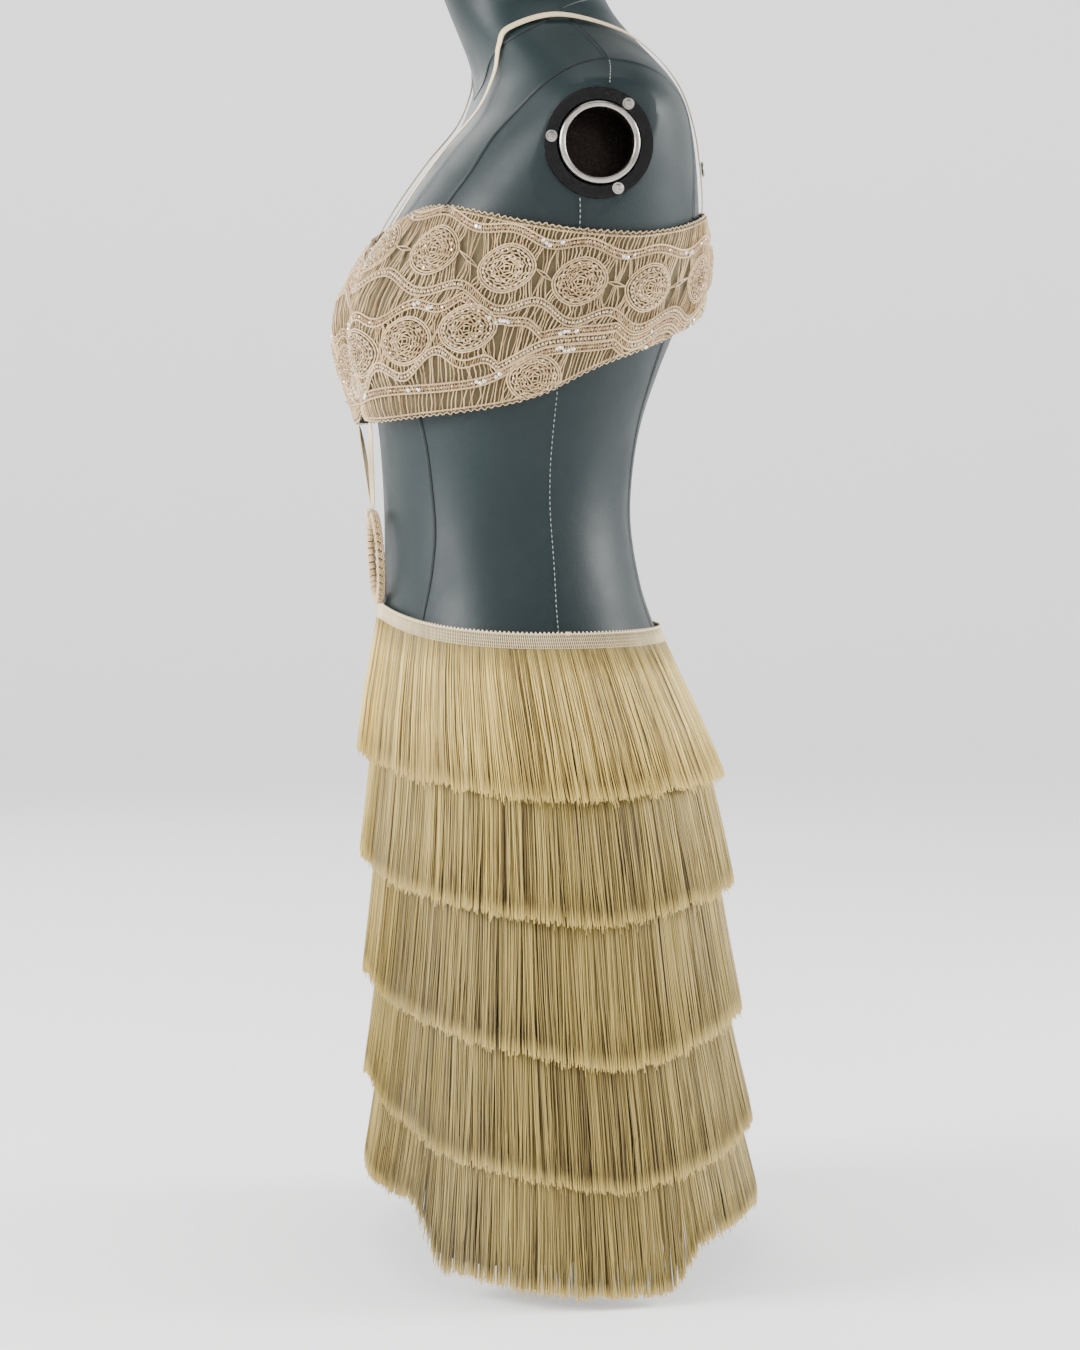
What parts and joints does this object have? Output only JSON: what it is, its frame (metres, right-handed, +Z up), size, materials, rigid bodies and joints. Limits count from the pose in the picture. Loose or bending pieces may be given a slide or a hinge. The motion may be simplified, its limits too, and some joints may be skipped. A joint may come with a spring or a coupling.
{
  "type": "crochet and fringe mini dress on a limbless dress form",
  "caption": "Lace bandeau top on thin straps, joined by a covered ring to a skirt of stepped fringe tiers, worn by a limbless dress form on a round foot.",
  "frame": {"origin": "centre of the underside of the round foot, on the floor", "axes": "+Z up, -Y to the front of the dress, +X to the wearer's left"},
  "size_m": [0.4114, 0.3299, 1.035],
  "materials": {
    "leatherette": "satin padded leatherette, teal grey",
    "black_plate": "gloss black",
    "steel": "bright turned steel",
    "lining": "matt olive tan lining",
    "lace": "warm beige crochet with seed beads and clear sequins",
    "strap": "cream satin tape",
    "ring": "beige crochet cover",
    "foundation": "plain beige cloth",
    "fringe": "soft pale straw yarn fringe"
  },
  "bodies": {
    "root": {"form_torso": "leatherette", "arm_plate_left": "black_plate", "arm_plate_right": "black_plate", "arm_socket_left": "steel", "arm_socket_right": "steel", "arm_screw_left_1": "steel", "arm_screw_left_2": "steel", "arm_screw_left_3": "steel", "arm_screw_right_1": "steel", "arm_screw_right_2": "steel", "arm_screw_right_3": "steel", "stand_pole": "steel", "stand_foot": "black_plate", "band_lining": "lining", "lace_left": "lace", "lace_right": "lace", "strap_left": "strap", "strap_right": "strap", "strap_slider_left": "steel", "strap_slider_right": "steel", "front_strap_left": "strap", "front_strap_right": "strap", "belly_ring": "ring", "skirt_foundation": "foundation", "fringe_1": "fringe", "fringe_2": "fringe", "fringe_3": "fringe", "fringe_4": "fringe", "fringe_5": "fringe"}
  },
  "joints": []
}
